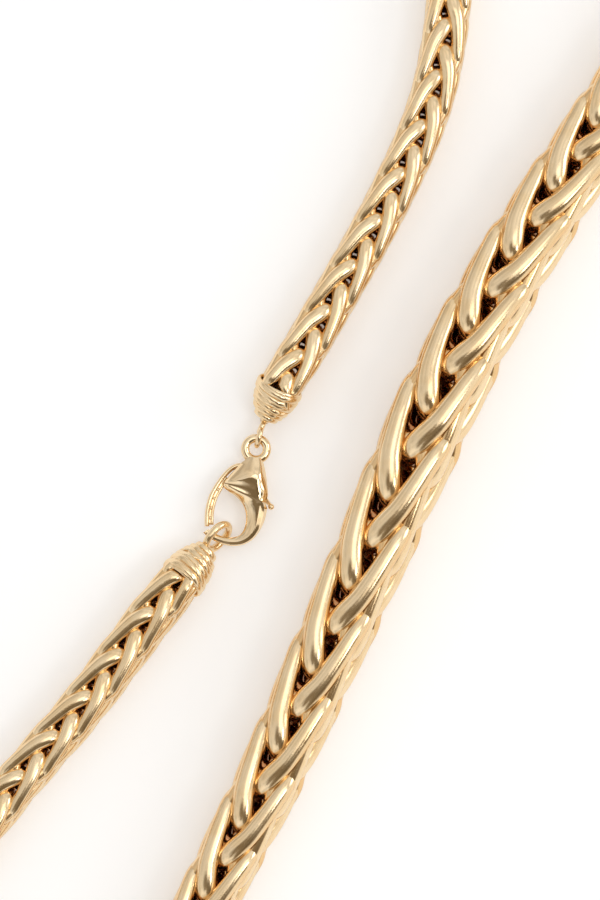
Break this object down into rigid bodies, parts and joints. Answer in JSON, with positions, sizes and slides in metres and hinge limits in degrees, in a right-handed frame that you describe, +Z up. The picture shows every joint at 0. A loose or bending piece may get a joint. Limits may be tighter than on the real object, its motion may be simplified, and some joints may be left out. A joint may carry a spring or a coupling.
{
  "type": "graduated wheat chain necklace",
  "caption": "Graduated wheat chain necklace: a closed loop of interlocking bent links, thick at the front, with wound end caps and a lobster clasp.",
  "frame": {"origin": "centre of the necklace's outline at the surface it lies on", "axes": "+Z up from the surface, +Y towards the far turn beside the clasp side's strand, +X towards the thick front strand's side"},
  "size_m": [0.1098, 0.1876, 0.0097],
  "materials": {
    "polished_gold": "polished yellow gold, hollow links",
    "wound_gold": "polished yellow gold wire, wound",
    "clasp_gold": "mirror-polished yellow gold"
  },
  "bodies": {
    "necklace": {"front_links": "polished_gold", "clasp_side_links": "polished_gold", "ring_side_links": "polished_gold", "far_turns": "polished_gold", "clasp_side_cap": "wound_gold", "ring_side_cap": "wound_gold", "jump_ring": "clasp_gold", "clasp_body": "clasp_gold"},
    "lever": {"clasp_lever": "clasp_gold"}
  },
  "joints": [
    {"name": "lever_hinge", "type": "hinge", "parent": "necklace", "child": "lever", "pos_m": [-0.0072, -0.00358, 0.00175], "axis": [0, 0, 1], "range_deg": [0, 9], "stiffness_Nm_per_rad": 0.004, "springref_deg": -11.46}
  ]
}
